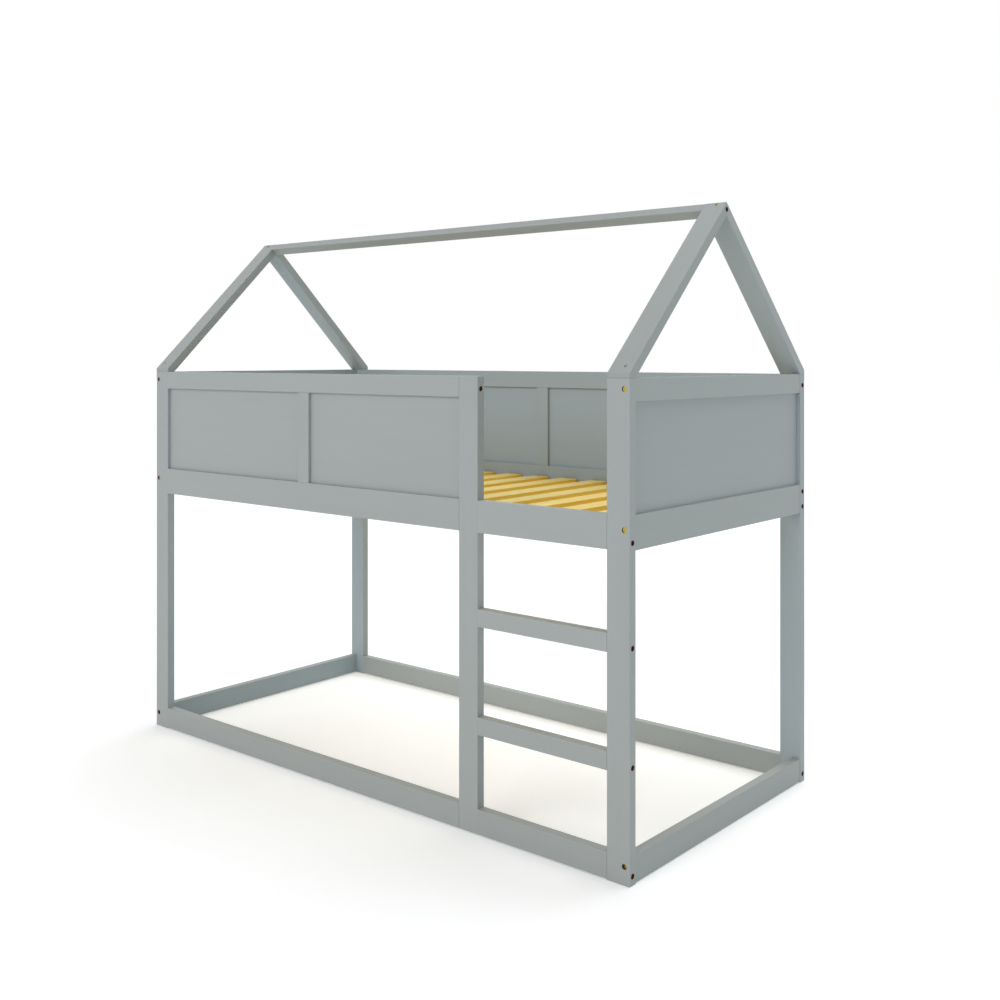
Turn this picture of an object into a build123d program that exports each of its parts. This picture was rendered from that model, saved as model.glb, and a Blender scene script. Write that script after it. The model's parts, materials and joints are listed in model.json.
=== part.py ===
from build123d import *
import os
from math import atan2, cos, sin, sqrt, tan

# Low bunk bed with a house-shaped roof, in millimetres.
# X runs along the bed towards the ladder end, Y from the front to the rear, Z up.
# The origin is on the floor, under the middle of the bed.

# Overall sizes
frame_length = 2060
frame_width = 980
post_height = 1280
ridge_height = 1772.5

# Uprights, all cut from the same planed lumber
lumber_thickness = 28
post_width = 70
ladder_post_width = 70
ladder_opening = 439
end_setback = 2
edge_radius = 1.5
largest_round_share = 0.25

# Rails and rungs; the posts stand on the floor and the floor rails just clear it
floor_rail_rise = 3
floor_rail_height = 70
platform_rail_bottom = 843
platform_rail_height = 90
top_rail_height = 60
rung_height = 50
rung_rise = 301.5

# Guard panels: thin boards held in grooves
stile_width = 50
panel_thickness = 6
groove_depth = 9
groove_slack = 0.4
panel_edge_gap = 1

# Roof
heel_height = 12
ridge_side = 30

# Slats and the ledgers that they lie on
deck_drop = 38
slat_width = 70
slat_thickness = 18
slat_count = 15
slat_end_gap = 6
slat_edge_radius = 3
ledger_depth = 30
ledger_height = 32
ledger_end_gap = 1

# Bolts, which run through an upright into a barrel nut in the rail's end
bolt_diameter = 6
bolt_head_diameter = 13
bolt_head_height = 3
bolt_socket_width = 5
bolt_socket_depth = 2.4
bolt_hole_slack = 0.3
bolt_tip_room = 3
counterbore_diameter = 14
counterbore_depth = 9.5
shallow_counterbore_depth = 5.5
nut_diameter = 10
nut_length = 20
nut_distance = 35
nut_slot_width = 1.5
nut_slot_depth = 1.5
nut_hole_slack = 0.15
nut_thread_slack = 0.05

# Dowels
dowel_diameter = 8
dowel_length = 30
dowel_chamfer = 1
dowel_slack = 0.1

# Room left at the bottom of a blind hole for a dowel or a screw
blind_hole_gap = 1

# Wood screws
slat_screw_length = 35
slat_screw_diameter = 4
slat_screw_head = 8
ledger_screw_length = 50
ledger_screw_diameter = 4.5
ledger_screw_head = 9
ledger_screw_count = 8
ledger_screw_rise = 9
ledger_screw_end = 60
lap_screw_length = 22
lap_screw_diameter = 4
lap_screw_head = 8
roof_screw_diameter = 4
roof_screw_head = 8
roof_screw_head_height = 3
roof_screw_sink = 9
foot_screw_length = 50
foot_screw_inset = 20
apex_screw_length = 55
apex_screw_head = 11
apex_screw_sink = 5
apex_bolt_gap = 1.55
screw_slack = 0.1
recess_width = 0.9
recess_depth = 1.6

# Heights of the bolts and dowels in a rail's end, as shares of the rail's height.
# A side fastening runs along X and an end fastening along Y, so they pass each other in the posts.
floor_side_bolt_shares = [0.30]
floor_side_dowel_shares = [0.72]
floor_end_bolt_shares = [0.65]
floor_end_dowel_shares = [0.46]
platform_side_bolt_shares = [0.233, 0.756]
platform_side_dowel_shares = [0.49]
platform_end_bolt_shares = [0.595]
platform_end_dowel_shares = [0.41]
top_side_bolt_shares = [0.41]
top_side_dowel_shares = [0.72]
top_end_bolt_shares = [0.54]
top_end_dowel_shares = [0.81]
rung_bolt_shares = [0.35]
rung_dowel_shares = [0.72]
entry_bolt_shares = [0.233]
entry_dowel_shares = [0.49, 0.756]

# Places of the roof's and the lap's fastenings, as shares of the post's width or the rail's height
foot_screw_share = 0.643
apex_screw_share = 0.57
foot_dowel_share = 0.40
lap_screw_shares = [(0.25, 0.70), (0.75, 0.30)]

# Cutters run past the faces that they leave by this much
overrun = 5

# Places along X
end_x = frame_length / 2
post_inner_x = end_x - post_width
end_rail_outer_x = end_x - end_setback
end_rail_x = end_rail_outer_x - lumber_thickness / 2
end_rail_inner_x = end_rail_outer_x - lumber_thickness
ladder_right_x = post_inner_x - ladder_opening
ladder_left_x = ladder_right_x - ladder_post_width
front_stile_x = (ladder_right_x - post_inner_x) / 2

# Places along Y, for the rear; the front has the same with the other sign
face_y = frame_width / 2
inner_y = face_y - lumber_thickness
rail_y = face_y - lumber_thickness / 2

# Heights
floor_rail_top = floor_rail_rise + floor_rail_height
platform_rail_top = platform_rail_bottom + platform_rail_height
top_rail_bottom = post_height - top_rail_height
deck_height = platform_rail_top - deck_drop
ledger_top = deck_height - slat_thickness

# The rafters' slope, from the top of the heel to the tip
roof_slope = atan2(ridge_height - post_height - heel_height, face_y)
ridge_drop = ridge_side / sqrt(2)
ridge_z = ridge_height - ridge_drop

# How far under the rear slope the apex screw runs, so that it passes over the ridge's bolt
apex_screw_drop = ridge_drop * cos(roof_slope) - apex_bolt_gap - (bolt_diameter + roof_screw_diameter) / 2
apex_screw_distance = apex_screw_drop / sin(2 * roof_slope)

groove_width = panel_thickness + groove_slack
panel_reach = groove_depth - panel_edge_gap
lowest = (Align.MIN, Align.MIN, Align.MIN)

nodes = {}
cutters = {}
fasteners = {}


def block(low, high):
    """A plain box between two corners."""
    size = [top - bottom for bottom, top in zip(low, high)]
    return Pos(*low) * Box(*size, align=lowest)


def eased(solid, edges, radius=edge_radius):
    """Rounds the given edges, by less where the wood is thin."""
    size = solid.bounding_box().size
    return fillet(edges, min(radius, largest_round_share * min(size.X, size.Y, size.Z)))


def board(low, high, grain, radius=edge_radius):
    """A planed board with its long edges rounded."""
    solid = block(low, high)
    return eased(solid, solid.edges().filter_by(grain), radius)


def upright(low, high):
    """A post: its long edges and both its ends are rounded."""
    solid = block(low, high)
    return eased(solid, solid.edges())


def rod(radius, start, stop):
    """A round bar along Z between two heights."""
    return Pos(0, 0, start) * Cylinder(radius, stop - start, align=(Align.CENTER, Align.CENTER, Align.MIN))


def place(solid, point, outward):
    """Moves a solid so that its origin is at the point and its +Z points outward."""
    return Plane(origin=point, z_dir=outward) * solid


def cut(names, cutter):
    """Notes a cutter for each named piece; finished() takes them all out at once."""
    for name in names:
        cutters.setdefault(name, []).append(cutter)


def finished(name):
    """A node's solid with its grooves and holes cut."""
    return nodes[name] - cutters[name] if name in cutters else nodes[name]


def fasten(group, solid):
    """Adds one fastener to its group."""
    fasteners.setdefault(group, []).append(solid)


def bolt_solid(length, sink):
    """A bolt with a low socket head that sits at the bottom of a counterbore under Z = 0."""
    seat = -sink
    head_top = seat + bolt_head_height
    head = rod(bolt_head_diameter / 2, seat, head_top)
    shank = rod(bolt_diameter / 2, seat - length, seat)
    socket_radius = bolt_socket_width / sqrt(3)
    socket = extrude(RegularPolygon(socket_radius, 6), bolt_socket_depth + overrun)
    return head + shank - Pos(0, 0, head_top - bolt_socket_depth) * socket


def nut_solid():
    """A barrel nut along Z, centred on its cross hole, with a slot in its outer end."""
    half = nut_length / 2
    body = rod(nut_diameter / 2, -half, half)
    thread = Rot(0, 90, 0) * Cylinder(bolt_diameter / 2 + nut_thread_slack, nut_diameter + overrun)
    slot = Pos(0, 0, half) * Box(nut_diameter + overrun, nut_slot_width, nut_slot_depth * 2)
    return body - thread - slot


def cross_recess(radius):
    """A cross-shaped recess for a screwdriver, sunk from Z = 0."""
    arm = Box(radius, recess_width, recess_depth * 2)
    return arm + Rot(0, 0, 90) * arm


def countersunk_screw(diameter, head_diameter, length):
    """A wood screw with its flat head level with Z = 0."""
    head_height = (head_diameter - diameter) / 2
    head = Pos(0, 0, -head_height / 2) * Cone(diameter / 2, head_diameter / 2, head_height)
    shank = rod(diameter / 2, -length, -head_height / 2)
    return head + shank - cross_recess(head_diameter / 2)


def countersunk_hole(diameter, head_diameter, length):
    """The hole for a flat-headed screw."""
    wide = head_diameter + 2 * screw_slack
    narrow = diameter + 2 * screw_slack
    sink_height = (wide - narrow) / 2
    sink = Pos(0, 0, -sink_height / 2) * Cone(narrow / 2, wide / 2, sink_height)
    return sink + rod(narrow / 2, -length - blind_hole_gap, -sink_height / 2) + rod(wide / 2, 0, overrun)


def sunk_screw(length, sink, head_diameter):
    """A wood screw with a round head at the bottom of a counterbore under Z = 0."""
    head_top = -sink + roof_screw_head_height
    head = rod(head_diameter / 2, -sink, head_top)
    shank = rod(roof_screw_diameter / 2, -sink - length, -sink)
    return head + shank - Pos(0, 0, head_top) * cross_recess(head_diameter / 2)


def sunk_hole(length, sink, head_diameter):
    """The counterbore and hole for a sunk screw."""
    wide = rod(head_diameter / 2 + screw_slack, -sink, overrun + sink)
    narrow = rod(roof_screw_diameter / 2 + screw_slack, -sink - length - blind_hole_gap, -sink)
    return wide + narrow


def add_bolt(group, uprights, rail, face, outward, seam_distance, nut_side, nut_cover,
             sink=counterbore_depth):
    """Bolts a rail's end to an upright, from a point on the upright's face.

    The nut's hole comes in from nut_side, where the rail's wood reaches nut_cover from the bolt's axis.
    """
    reach = seam_distance + nut_distance
    bolt = bolt_solid(reach - sink + nut_diameter / 2, sink)
    shank_hole = rod(bolt_diameter / 2 + bolt_hole_slack, -reach - nut_diameter / 2 - bolt_tip_room, overrun)
    head_hole = rod(counterbore_diameter / 2, -sink, overrun)
    cut(uprights + [rail], place(shank_hole, face, outward))
    cut(uprights, place(head_hole, face, outward))
    fasten(group, place(bolt, face, outward))
    centre = Vector(face) - Vector(outward) * reach
    nut_hole = rod(nut_diameter / 2 + nut_hole_slack, -nut_length / 2, nut_cover + overrun)
    nut_plane = Plane(origin=centre, x_dir=outward, z_dir=nut_side)
    cut([rail], nut_plane * nut_hole)
    fasten("barrel_nuts", nut_plane * nut_solid())


def add_dowel(names, seam, direction):
    """A dowel across a joint, half of it in each piece."""
    half = dowel_length / 2
    pin = rod(dowel_diameter / 2, -half, half)
    pin = chamfer(pin.edges().filter_by(GeomType.CIRCLE), dowel_chamfer)
    hole = rod(dowel_diameter / 2 + dowel_slack, -half - blind_hole_gap, half + blind_hole_gap)
    cut(names, place(hole, seam, direction))
    fasten("dowels", place(pin, seam, direction))


def add_screw(group, names, solid, hole, point, outward):
    """A wood screw through one piece into the next."""
    cut(names, place(hole, point, outward))
    fasten(group, place(solid, point, outward))


def make_posts():
    for end, sign_x in (("left", -1), ("right", 1)):
        for side, sign_y in (("front", -1), ("rear", 1)):
            low_x, high_x = sorted((sign_x * post_inner_x, sign_x * end_x))
            low_y, high_y = sorted((sign_y * inner_y, sign_y * face_y))
            nodes[f"{side}_{end}_post"] = upright((low_x, low_y, 0), (high_x, high_y, post_height))


def rung_bottom(count):
    """The height of a rung's lower edge, counted up from the floor rail."""
    return floor_rail_rise + count * rung_rise - rung_height / 2


def make_ladder():
    """The ladder post, the two rungs and the entry rail, all flush with the front."""
    nodes["ladder_post"] = upright(
        (ladder_left_x, -face_y, floor_rail_rise), (ladder_right_x, -inner_y, post_height))
    for count, name in enumerate(("lower_rung", "upper_rung"), start=1):
        low = rung_bottom(count)
        nodes[name] = board(
            (ladder_right_x, -face_y, low), (post_inner_x, -inner_y, low + rung_height), Axis.X)
    nodes["entry_rail"] = board(
        (ladder_right_x, -face_y, platform_rail_bottom), (post_inner_x, -inner_y, platform_rail_top), Axis.X)


def make_long_rails():
    """Rails along X: floor rails on both sides, and the guard panels' top and bottom rails."""
    for side, low_y, top_end in (("front", -face_y, ladder_left_x), ("rear", inner_y, post_inner_x)):
        high_y = low_y + lumber_thickness
        spans = (("floor_rail", post_inner_x, floor_rail_rise, floor_rail_top),
                 ("bottom_rail", top_end, platform_rail_bottom, platform_rail_top),
                 ("top_rail", top_end, top_rail_bottom, post_height))
        for kind, stop_x, low_z, high_z in spans:
            nodes[f"{side}_{kind}"] = board((-post_inner_x, low_y, low_z), (stop_x, high_y, high_z), Axis.X)


def make_end_rails():
    """Rails along Y between the posts at both ends, set back a little from the posts' faces."""
    for end, low_x in (("left", -end_rail_outer_x), ("right", end_rail_inner_x)):
        spans = (("floor_rail", floor_rail_rise, floor_rail_top),
                 ("bottom_rail", platform_rail_bottom, platform_rail_top),
                 ("top_rail", top_rail_bottom, post_height))
        for kind, low_z, high_z in spans:
            nodes[f"{end}_{kind}"] = board(
                (low_x, -inner_y, low_z), (low_x + lumber_thickness, inner_y, high_z), Axis.Y)


def long_panel(side, rail_centre_y, left_x, right_x, stile_x, right_upright):
    """A guard panel along X: one stile and two boards in grooves between the uprights and rails."""
    half = groove_width / 2
    low_y, high_y = rail_centre_y - half, rail_centre_y + half
    groove_low, groove_high = platform_rail_top - groove_depth, top_rail_bottom + groove_depth
    stile = board(
        (stile_x - stile_width / 2, rail_centre_y - lumber_thickness / 2, platform_rail_top),
        (stile_x + stile_width / 2, rail_centre_y + lumber_thickness / 2, top_rail_bottom), Axis.Z)
    tongue = block(
        (stile_x - stile_width / 2 + groove_depth, rail_centre_y - panel_thickness / 2, groove_low),
        (stile_x + stile_width / 2 - groove_depth, rail_centre_y + panel_thickness / 2, groove_high))
    nodes[f"{side}_stile"] = stile + tongue
    for edge_x, sign in ((stile_x - stile_width / 2, 1), (stile_x + stile_width / 2, -1)):
        low_x, high_x = sorted((edge_x - sign * overrun, edge_x + sign * groove_depth))
        cut([f"{side}_stile"],
            block((low_x, low_y, groove_low - overrun), (high_x, high_y, groove_high + overrun)))
    cut([f"{side}_left_post"],
        block((left_x - groove_depth, low_y, groove_low), (left_x + overrun, high_y, groove_high)))
    cut([right_upright],
        block((right_x - overrun, low_y, groove_low), (right_x + groove_depth, high_y, groove_high)))
    cut([f"{side}_bottom_rail"],
        block((left_x - overrun, low_y, groove_low),
              (right_x + overrun, high_y, platform_rail_top + overrun)))
    cut([f"{side}_top_rail"],
        block((left_x - overrun, low_y, top_rail_bottom - overrun),
              (right_x + overrun, high_y, groove_high)))
    bays = (("left", left_x, stile_x - stile_width / 2), ("right", stile_x + stile_width / 2, right_x))
    for end, start_x, stop_x in bays:
        nodes[f"{side}_{end}_board"] = block(
            (start_x - panel_reach, rail_centre_y - panel_thickness / 2, groove_low),
            (stop_x + panel_reach, rail_centre_y + panel_thickness / 2, groove_high - panel_edge_gap))


def end_panel(end, rail_centre_x):
    """A guard panel along Y: one board in grooves between the two corner posts."""
    half = groove_width / 2
    low_x, high_x = rail_centre_x - half, rail_centre_x + half
    groove_low, groove_high = platform_rail_top - groove_depth, top_rail_bottom + groove_depth
    for side, sign in (("front", -1), ("rear", 1)):
        low_y, high_y = sorted((sign * (inner_y - overrun), sign * (inner_y + groove_depth)))
        cut([f"{side}_{end}_post"], block((low_x, low_y, groove_low), (high_x, high_y, groove_high)))
    reach_y = inner_y + overrun
    cut([f"{end}_bottom_rail"],
        block((low_x, -reach_y, groove_low), (high_x, reach_y, platform_rail_top + overrun)))
    cut([f"{end}_top_rail"],
        block((low_x, -reach_y, top_rail_bottom - overrun), (high_x, reach_y, groove_high)))
    board_y = inner_y + panel_reach
    nodes[f"{end}_board"] = block(
        (rail_centre_x - panel_thickness / 2, -board_y, groove_low),
        (rail_centre_x + panel_thickness / 2, board_y, groove_high - panel_edge_gap))


def rafter(low_x, sign_y):
    """A rafter on its post: a short vertical heel, then the slope up to the mitre at the tip."""
    plumb_depth = lumber_thickness / cos(roof_slope)
    foot_inner_y = (ridge_height - plumb_depth - post_height) / tan(roof_slope)
    outline = Polyline(
        (face_y, post_height), (face_y, post_height + heel_height), (0, ridge_height),
        (0, ridge_height - plumb_depth), (foot_inner_y, post_height), close=True)
    solid = extrude(Plane.YZ.offset(low_x) * make_face(outline), post_width)
    edges = [edge for edge in solid.edges() if edge.center().Y > edge_radius]
    solid = eased(solid, edges)
    return solid if sign_y > 0 else mirror(solid, Plane.XZ)


def make_roof():
    for end, low_x in (("left", -end_x), ("right", post_inner_x)):
        for side, sign_y in (("front", -1), ("rear", 1)):
            nodes[f"{side}_{end}_rafter"] = rafter(low_x, sign_y)
    beam = Box(2 * post_inner_x, ridge_side, ridge_side)
    beam = eased(beam, beam.edges().filter_by(Axis.X))
    nodes["ridge_beam"] = Pos(0, 0, ridge_z) * Rot(45, 0, 0) * beam


def make_deck():
    """Two ledgers and the slats on them, spread evenly between the end panels."""
    reach = end_rail_inner_x - ledger_end_gap
    for side, low_y in (("front", -inner_y), ("rear", inner_y - ledger_depth)):
        nodes[f"{side}_slat_ledger"] = board(
            (-reach, low_y, ledger_top - ledger_height), (reach, low_y + ledger_depth, ledger_top), Axis.X)
    slat_reach = inner_y - slat_end_gap
    for number, centre_x in enumerate(slat_centres(), start=1):
        nodes[f"slat_{number:02d}"] = board(
            (centre_x - slat_width / 2, -slat_reach, ledger_top),
            (centre_x + slat_width / 2, slat_reach, deck_height), Axis.Y, slat_edge_radius)


def slat_centres():
    """Middles of the slats: the gaps between them and at both ends are equal."""
    gap = (2 * end_rail_inner_x - slat_count * slat_width) / (slat_count + 1)
    pitch = slat_width + gap
    return [(index - (slat_count - 1) / 2) * pitch for index in range(slat_count)]


def cut_ladder_lap():
    """The ladder post's foot laps over the front floor rail, each cut to half its thickness."""
    cut(["ladder_post"],
        block((ladder_left_x - overrun, -rail_y, -overrun),
              (ladder_right_x + overrun, -inner_y + overrun, floor_rail_top)))
    cut(["front_floor_rail"],
        block((ladder_left_x, -face_y - overrun, -overrun),
              (ladder_right_x, -rail_y, floor_rail_top + overrun)))


def nut_way(rail, inward, bolt_rise):
    """Where a nut's hole comes in, and from how far: under a floor rail, elsewhere its inside face."""
    if rail.endswith("floor_rail"):
        return (0, 0, -1), bolt_rise
    return inward, lumber_thickness / 2


def side_joint(uprights, rail, face_x, seam_x, centre_y, low_z, height, bolt_shares, dowel_shares):
    """Fastens a rail's end along X, with the bolts' heads on the upright's face at face_x."""
    outward = (1 if face_x > seam_x else -1, 0, 0)
    inward_y = 1 if centre_y < 0 else -1
    for share in bolt_shares:
        add_bolt("long_bolts", uprights, rail, (face_x, centre_y, low_z + share * height), outward,
                 abs(face_x - seam_x), *nut_way(rail, (0, inward_y, 0), share * height))
    for share in dowel_shares:
        add_dowel(uprights + [rail], (seam_x, centre_y, low_z + share * height), outward)


def join_long_rails():
    for side, centre_y in (("front", -rail_y), ("rear", rail_y)):
        for end, sign in (("left", -1), ("right", 1)):
            post = [f"{side}_{end}_post"]
            ends = (sign * end_x, sign * post_inner_x, centre_y)
            side_joint(post, f"{side}_floor_rail", *ends, floor_rail_rise, floor_rail_height,
                       floor_side_bolt_shares, floor_side_dowel_shares)
            if side == "front" and end == "right":
                continue
            side_joint(post, f"{side}_bottom_rail", *ends, platform_rail_bottom, platform_rail_height,
                       platform_side_bolt_shares, platform_side_dowel_shares)
            side_joint(post, f"{side}_top_rail", *ends, top_rail_bottom, top_rail_height,
                       top_side_bolt_shares, top_side_dowel_shares)


def join_ladder():
    """The rungs and entry rail are bolted at both ends, and the front panel to the ladder post."""
    steps = [(name, rung_bottom(count), rung_height, rung_bolt_shares, rung_dowel_shares)
             for count, name in enumerate(("lower_rung", "upper_rung"), start=1)]
    steps.append(("entry_rail", platform_rail_bottom, platform_rail_height, entry_bolt_shares,
                  entry_dowel_shares))
    for name, low_z, height, bolt_shares, dowel_shares in steps:
        side_joint(["front_right_post"], name, end_x, post_inner_x, -rail_y, low_z, height,
                   bolt_shares, dowel_shares)
        side_joint(["ladder_post"], name, ladder_left_x, ladder_right_x, -rail_y, low_z, height,
                   bolt_shares, dowel_shares)
    side_joint(["ladder_post"], "front_top_rail", ladder_right_x, ladder_left_x, -rail_y,
               top_rail_bottom, top_rail_height, top_side_bolt_shares, top_side_dowel_shares)
    side_joint(["ladder_post"], "front_bottom_rail", ladder_right_x, ladder_left_x, -rail_y,
               platform_rail_bottom, platform_rail_height, [], entry_dowel_shares)


def join_end_rails():
    rails = (("floor_rail", floor_rail_rise, floor_rail_height, floor_end_bolt_shares,
              floor_end_dowel_shares),
             ("bottom_rail", platform_rail_bottom, platform_rail_height, platform_end_bolt_shares,
              platform_end_dowel_shares),
             ("top_rail", top_rail_bottom, top_rail_height, top_end_bolt_shares, top_end_dowel_shares))
    for end, sign_x in (("left", -1), ("right", 1)):
        for side, sign_y in (("front", -1), ("rear", 1)):
            post = [f"{side}_{end}_post"]
            for kind, low_z, height, bolt_shares, dowel_shares in rails:
                sink = counterbore_depth if kind == "floor_rail" else shallow_counterbore_depth
                for share in bolt_shares:
                    add_bolt("short_bolts", post, f"{end}_{kind}",
                             (sign_x * end_rail_x, sign_y * face_y, low_z + share * height),
                             (0, sign_y, 0), lumber_thickness,
                             *nut_way(kind, (-sign_x, 0, 0), share * height), sink)
                for share in dowel_shares:
                    add_dowel(post + [f"{end}_{kind}"],
                              (sign_x * end_rail_x, sign_y * inner_y, low_z + share * height), (0, sign_y, 0))


def join_roof():
    """Each rafter stands on a dowel and a screw, and each tip is held by a screw and the ridge's bolt."""
    foot_screw_y = face_y - foot_screw_inset
    foot_screw_z = ridge_height - foot_screw_y * tan(roof_slope)
    for end, sign_x in (("left", -1), ("right", 1)):
        screw_x = sign_x * (post_inner_x + foot_screw_share * post_width)
        dowel_x = sign_x * (post_inner_x + foot_dowel_share * post_width)
        for side, sign_y in (("front", -1), ("rear", 1)):
            pair = [f"{side}_{end}_rafter", f"{side}_{end}_post"]
            add_dowel(pair, (dowel_x, sign_y * rail_y, post_height), (0, 0, 1))
            add_screw("rafter_foot_screws", pair,
                      sunk_screw(foot_screw_length, roof_screw_sink, roof_screw_head),
                      sunk_hole(foot_screw_length, roof_screw_sink, roof_screw_head),
                      (screw_x, sign_y * foot_screw_y, foot_screw_z), (0, 0, 1))
        rafters = [f"front_{end}_rafter", f"rear_{end}_rafter"]
        apex_x = sign_x * (post_inner_x + apex_screw_share * post_width)
        apex_point = (apex_x, -apex_screw_distance * cos(roof_slope),
                      ridge_height - apex_screw_distance * sin(roof_slope))
        add_screw("apex_screws", rafters, sunk_screw(apex_screw_length, apex_screw_sink, apex_screw_head),
                  sunk_hole(apex_screw_length, apex_screw_sink, apex_screw_head), apex_point,
                  (0, -cos(roof_slope), sin(roof_slope)))
        add_bolt("long_bolts", rafters, "ridge_beam", (sign_x * end_x, 0, ridge_z), (sign_x, 0, 0),
                 post_width, (0, 1, -1), ridge_side / 2)


def screw_down_deck():
    """Screws through the ledgers into the long sides, and through the slats into the ledgers."""
    behind = {"front": ["front_bottom_rail", "ladder_post", "entry_rail"], "rear": ["rear_bottom_rail"]}
    first_x = end_rail_inner_x - ledger_end_gap - ledger_screw_end
    ledger_screw_z = ledger_top - ledger_height + ledger_screw_rise
    slat_screw_y = inner_y - (ledger_depth + slat_end_gap) / 2
    for side, sign_y in (("front", -1), ("rear", 1)):
        ledger = f"{side}_slat_ledger"
        for index in range(ledger_screw_count):
            x = first_x * (2 * index / (ledger_screw_count - 1) - 1)
            add_screw("ledger_screws", [ledger] + behind[side],
                      countersunk_screw(ledger_screw_diameter, ledger_screw_head, ledger_screw_length),
                      countersunk_hole(ledger_screw_diameter, ledger_screw_head, ledger_screw_length),
                      (x, sign_y * (inner_y - ledger_depth), ledger_screw_z), (0, -sign_y, 0))
        for number, x in enumerate(slat_centres(), start=1):
            add_screw("slat_screws", [ledger, f"slat_{number:02d}"],
                      countersunk_screw(slat_screw_diameter, slat_screw_head, slat_screw_length),
                      countersunk_hole(slat_screw_diameter, slat_screw_head, slat_screw_length),
                      (x, sign_y * slat_screw_y, deck_height), (0, 0, 1))


def screw_ladder_lap():
    """Two screws from behind hold the lapped foot of the ladder post."""
    for width_share, height_share in lap_screw_shares:
        point = (ladder_left_x + width_share * ladder_post_width, -inner_y,
                 floor_rail_rise + height_share * floor_rail_height)
        add_screw("ladder_foot_screws", ["front_floor_rail", "ladder_post"],
                  countersunk_screw(lap_screw_diameter, lap_screw_head, lap_screw_length),
                  countersunk_hole(lap_screw_diameter, lap_screw_head, lap_screw_length), point, (0, 1, 0))


def write_parts():
    """One file per node; a group of fasteners is one node of separate solids."""
    os.makedirs("parts", exist_ok=True)
    for name in nodes:
        export_step(finished(name), f"parts/{name}.step")
    for name, solids in fasteners.items():
        export_step(Compound(solids), f"parts/{name}.step")


make_posts()
make_ladder()
make_long_rails()
make_end_rails()
long_panel("front", -rail_y, -post_inner_x, ladder_left_x, front_stile_x, "ladder_post")
long_panel("rear", rail_y, -post_inner_x, post_inner_x, 0, "rear_right_post")
end_panel("left", -end_rail_x)
end_panel("right", end_rail_x)
make_roof()
make_deck()
cut_ladder_lap()
join_long_rails()
join_ladder()
join_end_rails()
join_roof()
screw_down_deck()
screw_ladder_lap()
write_parts()
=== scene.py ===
import json
import math
import bpy
from mathutils import Euler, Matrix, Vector


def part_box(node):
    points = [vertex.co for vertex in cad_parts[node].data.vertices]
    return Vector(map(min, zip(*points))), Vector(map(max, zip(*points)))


# A low bunk bed with a house-shaped roof: painted frame and panels, pine slats, yellow-zinc bolts.
# Lengths are in metres and angles in radians, except where a name says otherwise. Colours are linear.

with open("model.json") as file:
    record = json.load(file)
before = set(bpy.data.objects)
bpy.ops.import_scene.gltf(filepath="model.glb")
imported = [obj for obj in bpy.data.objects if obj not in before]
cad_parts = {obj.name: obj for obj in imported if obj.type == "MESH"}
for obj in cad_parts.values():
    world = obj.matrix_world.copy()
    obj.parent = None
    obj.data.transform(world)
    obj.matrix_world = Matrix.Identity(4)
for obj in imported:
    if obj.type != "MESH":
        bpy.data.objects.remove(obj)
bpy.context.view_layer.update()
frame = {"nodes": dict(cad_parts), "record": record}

# The camera, solved from the straight edges of the frame in the photograph
focal_pixels = 1178.45
image_pixels = 1000
centre_x_pixels = 513.277
horizon_y_pixels = 356.681
camera_place = (2.69403, -2.95399, 1.33418)
camera_turn = 0.69232
sensor_millimetres = 36
nearest_seen = 0.1
farthest_seen = 200

# Colours of paint, wood and metal
paint_colour = (0.356, 0.390, 0.388)
# The boards' paint: the end and rear boards are painted cooler than the front, as painted cool shade
board_paint_and_cool_shade = {
    "front": (0.352, 0.382, 0.384),
    "left": (0.351, 0.389, 0.394),
    "right": (0.351, 0.389, 0.394),
    "rear": (0.353, 0.392, 0.400),
}
pine_light = (0.98, 0.78, 0.30)
pine_dark = (0.95, 0.685, 0.21)
pine_ring = (0.87, 0.54, 0.14)
beech_light = (0.62, 0.42, 0.24)
beech_dark = (0.50, 0.31, 0.16)
zinc_light = (0.60, 0.49, 0.07)
zinc_dark = (0.44, 0.33, 0.05)
screw_paint = (0.30, 0.32, 0.31)
# unpainted wood in the counterbores, made far darker than its own colour as painted shade in the holes
hole_wood_and_painted_shade = (0.100, 0.022, 0.012)

# Multipliers of those colours, which paint shade into them: the front rafters and the ridge are darker as
# painted shade, faces that look in at the bed are cooler as painted cool shade, and the slats' upright
# faces are deeper in colour as painted shade
# painted shade: the paint of the front rafters and the ridge is made darker
front_roof_painted_shade = 0.90
front_roof_nodes = ("front_left_rafter", "front_right_rafter", "ridge_beam")
# painted cool shade: faces that look in at the bed are tinted cooler
inward_painted_cool_shade = (0.99, 1.08, 1.18)
# painted shade: the slats' upright faces are multiplied by this deeper colour
pine_side_painted_shade = (0.93, 0.76, 0.26)
no_tint = (1, 1, 1)

# Each board's own tone and place in the pattern
tone_change = 0.012
tone_step = 2.4
pine_tone_gain = 2
pattern_step = (1.7, 0.83, 0.47)

# Where along the noise the colours of wood and metal lie
pine_stops = ((0.42, pine_light), (0.60, pine_dark), (0.72, pine_ring))
beech_stops = ((0.3, beech_light), (0.8, beech_dark))
metal_stops = (0.35, 0.65)

# Scales of the noises, as (along the grain, across it, across it) or as one number
paint_grain_scale = (2.2, 55, 55)
paint_fibre_scale = (14, 420, 420)
paint_cloud_scale = (1.3, 6, 6)
roller_mark_scale = 620
wood_bend_scale = (0.8, 14, 14)
wood_ring_scale = (0.9, 130, 130)
wood_fibre_scale = (9, 520, 520)
metal_patch_scale = 180
metal_fine_scale = 1500
even_scale = (1, 1, 1)
metal_shift = (0.37, 0.11, 0.73)

# How far each noise changes a colour
paint_grain_change = 0.012
paint_fibre_change = 0.006
paint_cloud_change = 0.018
wood_fibre_change = 0.05
ring_share = 0.6
bend_share = 0.4

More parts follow.
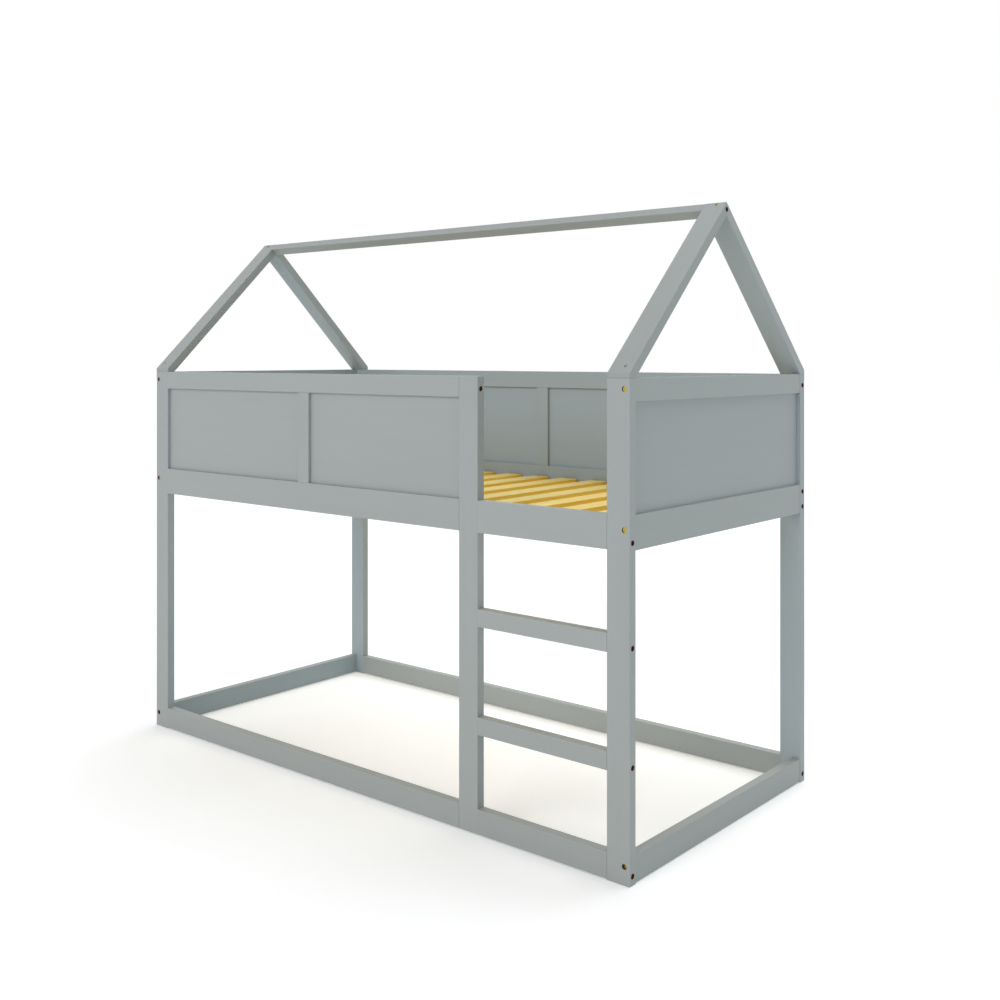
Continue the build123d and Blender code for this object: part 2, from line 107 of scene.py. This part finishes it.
# Gloss
paint_roughness = (0.43, 0.50)
paint_fibre_roughness = 0.03
paint_specular = 0.4
wood_roughness = (0.58, 0.70)
wood_specular = 0.2
zinc_roughness = 0.32
screw_paint_roughness = 0.45
metal_roughness_change = 0.08

# Heights of the relief
paint_grain_height = 0.00022
paint_fibre_height = 0.00006
roller_mark_height = 0.00004
wood_fibre_height = 0.00008
wood_ring_height = 0.00006
metal_fine_height = 0.00002

# The middle part of a noise's values, and of the values that tell which way a face looks
noise_range = (0.3, 0.7)
facing_range = (0.2, 0.8)

# The counterbores over the bolts, whose walls are unpainted wood darkened far below its own colour as
# painted shade, and its margin round them
counterbore_diameter = 0.014
counterbore_reach = 0.0004

# The decimal places to which two vertices in one place agree
vertex_digits = 5

# The pale light all round, and the floor with the strength at which the camera sees it
world_strength = 0.27
floor_colour = (0.915, 0.93, 0.945)
floor_seen = 1.15
floor_reach = 60

# Each lamp's aim, strength, colour and width in degrees
lamps = {
    "front": ((0.0, 0.90, -0.42), 1.36, (1.0, 0.95, 0.93), 40),
    "right": ((-1.0, 0.10, -0.08), 0.45, (0.84, 0.96, 1.0), 40),
    "back": ((0.0, -0.42, -0.906), 1.70, (0.97, 1.0, 1.0), 60),
}

# The rafters' slope, from the top of the heel to the tip
heel_height = 0.012
post_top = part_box("front_left_post")[1][2]
rafter_low, rafter_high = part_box("front_left_rafter")
roof_slope = math.atan2(rafter_high[2] - post_top - heel_height, -rafter_low[1])

# The turns that bring each board's grain to X
grain_turns = {
    "x": (0, 0, 0),
    "y": (0, 0, -math.pi / 2),
    "z": (0, math.pi / 2, 0),
    "slope_front": (-roof_slope, 0, -math.pi / 2),
    "slope_rear": (roof_slope, 0, -math.pi / 2),
}

# The way in from each side of the bed
ways_in = {"front": (0, 1, 0), "rear": (0, -1, 0), "left": (1, 0, 0), "right": (-1, 0, 0)}


class Nodes:
    """Builds a node tree one node at a time."""

    def __init__(self, owner):
        self.tree = owner.node_tree

    def add(self, kind, **settings):
        node = self.tree.nodes.new(kind)
        for key, value in settings.items():
            setattr(node, key, value)
        return node

    def link(self, source, target):
        self.tree.links.new(source, target)

    def maths(self, operation, first, second):
        """Two values, each a number or a socket, put through one operation."""
        node = self.add("ShaderNodeMath", operation=operation)
        for socket, value in zip(node.inputs, (first, second)):
            if isinstance(value, (int, float)):
                socket.default_value = value
            else:
                self.link(value, socket)
        return node.outputs["Value"]

    def seen(self, strength):
        """The strength where the camera, a reflection or a refraction looks, and nought for other light."""
        path = self.add("ShaderNodeLightPath")
        total = path.outputs["Is Camera Ray"]
        for name in ("Is Glossy Ray", "Is Transmission Ray"):
            total = self.maths("MAXIMUM", total, path.outputs[name])
        return self.maths("MULTIPLY", total, strength)


class Surface(Nodes):
    """The node tree of a piece's material."""

    def __init__(self, name):
        self.material = new_material(name)
        super().__init__(self.material)
        output = self.add("ShaderNodeOutputMaterial")
        self.shader = self.add("ShaderNodeBsdfPrincipled")
        self.link(self.shader.outputs["BSDF"], output.inputs["Surface"])

    def mapped(self, turn, scale, shift):
        """Object coordinates, turned so that the grain runs along X, then scaled and shifted."""
        coordinates = self.add("ShaderNodeTexCoord")
        turned = self.add("ShaderNodeMapping")
        turned.inputs["Rotation"].default_value = turn
        self.link(coordinates.outputs["Object"], turned.inputs["Vector"])
        scaled = self.add("ShaderNodeMapping")
        scaled.inputs["Scale"].default_value = scale
        scaled.inputs["Location"].default_value = shift
        self.link(turned.outputs["Vector"], scaled.inputs["Vector"])
        return scaled.outputs["Vector"]

    def noise(self, vector, scale=1, detail=3, roughness=0.5, distortion=0):
        node = self.add("ShaderNodeTexNoise")
        node.inputs["Scale"].default_value = scale
        node.inputs["Detail"].default_value = detail
        node.inputs["Roughness"].default_value = roughness
        node.inputs["Distortion"].default_value = distortion
        self.link(vector, node.inputs["Vector"])
        return node.outputs["Fac"]

    def spread(self, value, low, high, source=noise_range):
        """A value from the source range, spread over the range from low to high."""
        node = self.add("ShaderNodeMapRange")
        node.inputs["From Min"].default_value = source[0]
        node.inputs["From Max"].default_value = source[1]
        node.inputs["To Min"].default_value = low
        node.inputs["To Max"].default_value = high
        self.link(value, node.inputs["Value"])
        return node.outputs["Result"]

    def swing(self, value, change):
        """A noise spread evenly about nought."""
        return self.spread(value, -change, change)

    def ramp(self, value, stops):
        """Colours blended along a value."""
        node = self.add("ShaderNodeValToRGB")
        while len(node.color_ramp.elements) < len(stops):
            node.color_ramp.elements.new(0.5)
        for element, (place, colour) in zip(node.color_ramp.elements, stops):
            element.position = place
            element.color = (*colour, 1)
        self.link(value, node.inputs["Fac"])
        return node.outputs["Color"]

    def scaled_colour(self, colour, factor):
        """A colour, plain or from a socket, made lighter or darker by a value near one."""
        node = self.add("ShaderNodeVectorMath", operation="SCALE")
        if isinstance(colour, tuple):
            node.inputs[0].default_value = colour
        else:
            self.link(colour, node.inputs[0])
        self.link(factor, node.inputs["Scale"])
        return node.outputs["Vector"]

    def blend(self, first, second, share, blend_type="MIX"):
        """A colour turned into a plain one, or multiplied by it, by a share from nought to one."""
        node = self.add("ShaderNodeMix", data_type="RGBA", blend_type=blend_type)
        self.link(first, node.inputs["A"])
        node.inputs["B"].default_value = (*second, 1)
        self.link(share, node.inputs["Factor"])
        return node.outputs["Result"]

    def normal(self):
        return self.add("ShaderNodeNewGeometry").outputs["Normal"]

    def upright_share(self):
        """One on upright faces and nought on level ones."""
        parts = self.add("ShaderNodeSeparateXYZ")
        self.link(self.normal(), parts.inputs["Vector"])
        level = self.maths("MULTIPLY", parts.outputs["Z"], parts.outputs["Z"])
        return self.spread(level, 1, 0, facing_range)

    def facing_share(self, direction):
        """One on faces turned towards a direction and nought on the others."""
        along = self.add("ShaderNodeVectorMath", operation="DOT_PRODUCT")
        self.link(self.normal(), along.inputs[0])
        along.inputs[1].default_value = direction
        return self.spread(along.outputs["Value"], 0, 1, facing_range)

    def near_line(self, lines, reach):
        """One where a point is within reach of any of the lines, else nought."""
        place = self.add("ShaderNodeTexCoord").outputs["Object"]
        total = 0.0
        for point, direction in lines:
            offset = self.add("ShaderNodeVectorMath", operation="SUBTRACT")
            self.link(place, offset.inputs[0])
            offset.inputs[1].default_value = point
            across = self.add("ShaderNodeVectorMath", operation="CROSS_PRODUCT")
            self.link(offset.outputs["Vector"], across.inputs[0])
            across.inputs[1].default_value = direction
            length = self.add("ShaderNodeVectorMath", operation="LENGTH")
            self.link(across.outputs["Vector"], length.inputs[0])
            near = self.maths("LESS_THAN", length.outputs["Value"], reach)
            total = self.maths("MAXIMUM", total, near)
        return total

    def bump(self, height, distance, strength, normal=None):
        node = self.add("ShaderNodeBump")
        node.inputs["Distance"].default_value = distance
        node.inputs["Strength"].default_value = strength
        self.link(height, node.inputs["Height"])
        if normal is not None:
            self.link(normal, node.inputs["Normal"])
        return node.outputs["Normal"]

    def finish(self, colour, roughness, normal):
        """Links the finished colour, roughness and relief to the shader."""
        self.link(colour, self.shader.inputs["Base Color"])
        self.link(roughness, self.shader.inputs["Roughness"])
        self.link(normal, self.shader.inputs["Normal"])
        return self.material


def new_material(name):
    material = bpy.data.materials.new(name)
    material.use_nodes = True
    material.node_tree.nodes.clear()
    return material


def painted_wood(name, colour, turn, shift, tone, holes, cool_shade_side):
    """Satin paint on planed wood: the grain shows through as a faint relief, with fine roller marks.

    The paint stops at the holes, which show unpainted wood darkened with painted shade. It gets painted
    cool shade on the faces that look in at the bed.
    """
    nodes = Surface(name)
    grain_place = nodes.mapped(turn, paint_grain_scale, shift)
    grain = nodes.noise(grain_place, detail=4, roughness=0.55, distortion=0.4)
    fibre = nodes.noise(nodes.mapped(turn, paint_fibre_scale, shift), detail=2)
    marks = nodes.noise(nodes.mapped(turn, even_scale, shift), roller_mark_scale, detail=2)
    cloud = nodes.noise(nodes.mapped(turn, paint_cloud_scale, shift), detail=2)
    factor = nodes.spread(cloud, tone - paint_cloud_change, tone + paint_cloud_change)
    factor = nodes.maths("ADD", factor, nodes.swing(grain, paint_grain_change))
    factor = nodes.maths("ADD", factor, nodes.swing(fibre, paint_fibre_change))
    painted = nodes.scaled_colour(colour, factor)
    if cool_shade_side:
        # painted cool shade on the faces that look in at the bed
        painted = nodes.blend(painted, inward_painted_cool_shade, nodes.facing_share(cool_shade_side), "MULTIPLY")
    if holes:
        # painted shade: the counterbore walls take a near-black unpainted wood colour
        bare_and_shaded = nodes.near_line(holes, counterbore_diameter / 2 + counterbore_reach)
        painted = nodes.blend(painted, hole_wood_and_painted_shade, bare_and_shaded)
    rough = nodes.spread(cloud, *paint_roughness)
    rough = nodes.maths("ADD", rough, nodes.swing(fibre, paint_fibre_roughness))
    normal = nodes.bump(grain, paint_grain_height, strength=0.5)
    normal = nodes.bump(fibre, paint_fibre_height, strength=0.5, normal=normal)
    normal = nodes.bump(marks, roller_mark_height, strength=0.4, normal=normal)
    nodes.shader.inputs["Specular IOR Level"].default_value = paint_specular
    return nodes.finish(painted, rough, normal)


def clear_wood(name, stops, side_painted_shade, turn, shift, tone):
    """Clear-lacquered wood: growth rings cut lengthwise, fine fibres, and upright faces deepened in colour
    as painted shade.
    """
    nodes = Surface(name)
    bend = nodes.noise(nodes.mapped(turn, wood_bend_scale, shift))
    rings = nodes.noise(nodes.mapped(turn, wood_ring_scale, shift), roughness=0.6, distortion=0.6)
    fibre = nodes.noise(nodes.mapped(turn, wood_fibre_scale, shift), roughness=0.6)
    share_of_rings = nodes.maths("MULTIPLY", rings, ring_share)
    share_of_bend = nodes.maths("MULTIPLY", bend, bend_share)
    pattern = nodes.maths("ADD", share_of_rings, share_of_bend)
    # painted shade: upright faces are multiplied by a deeper colour
    colour = nodes.blend(nodes.ramp(pattern, stops), side_painted_shade, nodes.upright_share(), "MULTIPLY")
    factor = nodes.maths("ADD", nodes.swing(fibre, wood_fibre_change), tone)
    rough = nodes.spread(fibre, *wood_roughness)
    normal = nodes.bump(fibre, wood_fibre_height, strength=0.5)
    normal = nodes.bump(rings, wood_ring_height, strength=0.4, normal=normal)
    nodes.shader.inputs["Specular IOR Level"].default_value = wood_specular
    return nodes.finish(nodes.scaled_colour(colour, factor), rough, normal)


def metal(name, light, dark, metallic, roughness):
    """Plated or painted steel, a little uneven in colour and gloss."""
    nodes = Surface(name)
    vector = nodes.mapped(grain_turns["x"], even_scale, metal_shift)
    patch = nodes.noise(vector, metal_patch_scale, roughness=0.6)
    fine = nodes.noise(vector, metal_fine_scale, detail=2)
    colour = nodes.ramp(patch, tuple(zip(metal_stops, (dark, light))))
    rough = nodes.spread(patch, roughness - metal_roughness_change, roughness + metal_roughness_change)
    nodes.shader.inputs["Metallic"].default_value = metallic
    return nodes.finish(colour, rough, nodes.bump(fine, metal_fine_height, strength=0.4))


def longest_axis(size):
    return max(range(3), key=lambda axis: size[axis])


def grain_turn(name, size):
    """The turn for a node's grain, which runs along the board, or up the slope of a rafter."""
    if name.endswith("_rafter"):
        side = name.split("_")[0]
        return grain_turns[f"slope_{side}"]
    return grain_turns["xyz"[longest_axis(size)]]


def cool_shade_side_of(name):
    """The way in from a piece at one of the four sides, whose faces that look in at the bed get a cooler
    colour as painted cool shade against the slats' warm light.
    """
    if name.endswith("_floor_rail") and name != "left_floor_rail":
        return None
    side = "left" if name == "front_left_post" else name.split("_")[0]
    return ways_in.get(side)


def solid_boxes(node):
    """The lowest and highest corners of each separate solid in a group of fasteners."""
    mesh = node.data
    keys = [tuple(round(value, vertex_digits) for value in vertex.co) for vertex in mesh.vertices]
    parent = {key: key for key in keys}

    def root(key):
        while parent[key] != key:
            key = parent[key]
        return key

    for edge in mesh.edges:
        first, second = (root(keys[index]) for index in edge.vertices)
        parent[first] = second
    solids = {}
    for key in parent:
        solids.setdefault(root(key), []).append(Vector(key))
    for points in solids.values():
        low = Vector(min(point[axis] for point in points) for axis in range(3))
        high = Vector(max(point[axis] for point in points) for axis in range(3))
        yield low, high


def bolt_lines():
    """Each bolt's middle, direction and half length."""
    for group in ("short_bolts", "long_bolts"):
        for low, high in solid_boxes(frame["nodes"][group]):
            size = high - low
            axis = longest_axis(size)
            direction = Vector(1 if index == axis else 0 for index in range(3))
            yield (low + high) / 2, direction, size[axis] / 2


def holes_in(low, high, bolts):
    """The lines of the bolts whose ends lie in a box."""
    lines = []
    for middle, direction, half in bolts:
        ends = (middle - half * direction, middle + half * direction)
        if any(all(low[axis] < end[axis] < high[axis] for axis in range(3)) for end in ends):
            lines.append((middle, direction))
    return lines


def material_of(name, slot, count, bolts):
    """A node's material, with its own tone and its own place in the pattern."""
    low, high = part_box(name)
    turn = grain_turn(name, Vector(high) - Vector(low))
    shift = tuple(step * count for step in pattern_step)
    tone = 1 + tone_change * math.sin(tone_step * count)
    if name in front_roof_nodes:
        # painted shade: the front rafters' and the ridge's paint is made darker
        tone *= front_roof_painted_shade
    if slot == "painted_wood":
        holes = holes_in(low, high, bolts) if name.endswith(("_post", "_rafter")) else []
        return painted_wood(f"paint_{name}", paint_colour, turn, shift, tone, holes, cool_shade_side_of(name))
    if slot == "painted_board":
        # the end and rear boards carry painted cool shade in their colour
        colour = board_paint_and_cool_shade[name.split("_")[0]]
        return painted_wood(f"paint_{name}", colour, turn, shift, tone, [], cool_shade_side_of(name))
    if slot == "pine":
        pine_tone = 1 + pine_tone_gain * (tone - 1)
        return clear_wood(f"pine_{name}", pine_stops, pine_side_painted_shade, turn, shift, pine_tone)
    if slot == "beech":
        return clear_wood(f"beech_{name}", beech_stops, no_tint, turn, shift, 1)
    if slot == "painted_screw":
        return metal(f"paint_{name}", screw_paint, screw_paint, 0, screw_paint_roughness)
    return metal(f"zinc_{name}", zinc_light, zinc_dark, 1, zinc_roughness)


def dress_nodes():
    """Gives each CAD node its material."""
    bolts = list(bolt_lines())
    slot_of = {part["node"]: part["material_slot"] for part in frame["record"]["subparts"]}
    for count, (name, node) in enumerate(sorted(frame["nodes"].items())):
        material = material_of(name, slot_of[name], count, bolts)
        for place in node.material_slots:
            place.material = material


def make_floor():
    """A pale floor that keeps the soft shadow and is otherwise white to the camera."""
    lamp_light = sum(-Vector(aim).normalized().z * strength for aim, strength, _, _ in lamps.values())
    glow_strength = floor_seen - floor_colour[1] * (world_strength + lamp_light / math.pi)
    mesh = bpy.data.meshes.new("floor")
    corners = [(x * floor_reach, y * floor_reach, 0) for x, y in ((-1, -1), (1, -1), (1, 1), (-1, 1))]
    mesh.from_pydata(corners, [], [(0, 1, 2, 3)])
    floor = bpy.data.objects.new("floor", mesh)
    bpy.context.scene.collection.objects.link(floor)
    material = new_material("floor")
    nodes = Nodes(material)
    output = nodes.add("ShaderNodeOutputMaterial")
    both = nodes.add("ShaderNodeAddShader")
    paint = nodes.add("ShaderNodeBsdfDiffuse")
    paint.inputs["Color"].default_value = (*floor_colour, 1)
    glow = nodes.add("ShaderNodeEmission")
    nodes.link(nodes.seen(glow_strength), glow.inputs["Strength"])
    nodes.link(paint.outputs["BSDF"], both.inputs[0])
    nodes.link(glow.outputs["Emission"], both.inputs[1])
    nodes.link(both.outputs["Shader"], output.inputs["Surface"])
    mesh.materials.append(material)


def make_world():
    """Even pale light all round, which the camera sees as white."""
    world = bpy.data.worlds.new("studio")
    bpy.context.scene.world = world
    world.use_nodes = True
    nodes = Nodes(world)
    background = world.node_tree.nodes["Background"]
    background.inputs["Color"].default_value = (1, 1, 1, 1)
    strength = nodes.maths("ADD", nodes.seen(1 - world_strength), world_strength)
    nodes.link(strength, background.inputs["Strength"])


def add_sun(name, aim, strength, colour, width):
    """A broad soft lamp, shining along the aim."""
    lamp = bpy.data.lights.new(name, "SUN")
    lamp.energy = strength
    lamp.color = colour
    lamp.angle = math.radians(width)
    place = bpy.data.objects.new(name, lamp)
    place.rotation_euler = Vector(aim).to_track_quat("-Z", "Y").to_euler()
    bpy.context.scene.collection.objects.link(place)


def make_camera():
    """The photograph's camera, level, with its horizon and centre put in place by the shift."""
    data = bpy.data.cameras.new("camera")
    data.sensor_width = sensor_millimetres
    data.lens = sensor_millimetres * focal_pixels / image_pixels
    data.shift_x = 0.5 - centre_x_pixels / image_pixels
    data.shift_y = horizon_y_pixels / image_pixels - 0.5
    data.clip_start = nearest_seen
    data.clip_end = farthest_seen
    camera = bpy.data.objects.new("camera", data)
    camera.location = camera_place
    camera.rotation_euler = Euler((math.pi / 2, 0, camera_turn))
    bpy.context.scene.collection.objects.link(camera)
    bpy.context.scene.camera = camera


dress_nodes()
make_floor()
make_world()
for name, settings in lamps.items():
    add_sun(name, *settings)
make_camera()

scene = bpy.context.scene
scene.view_settings.view_transform = "Standard"
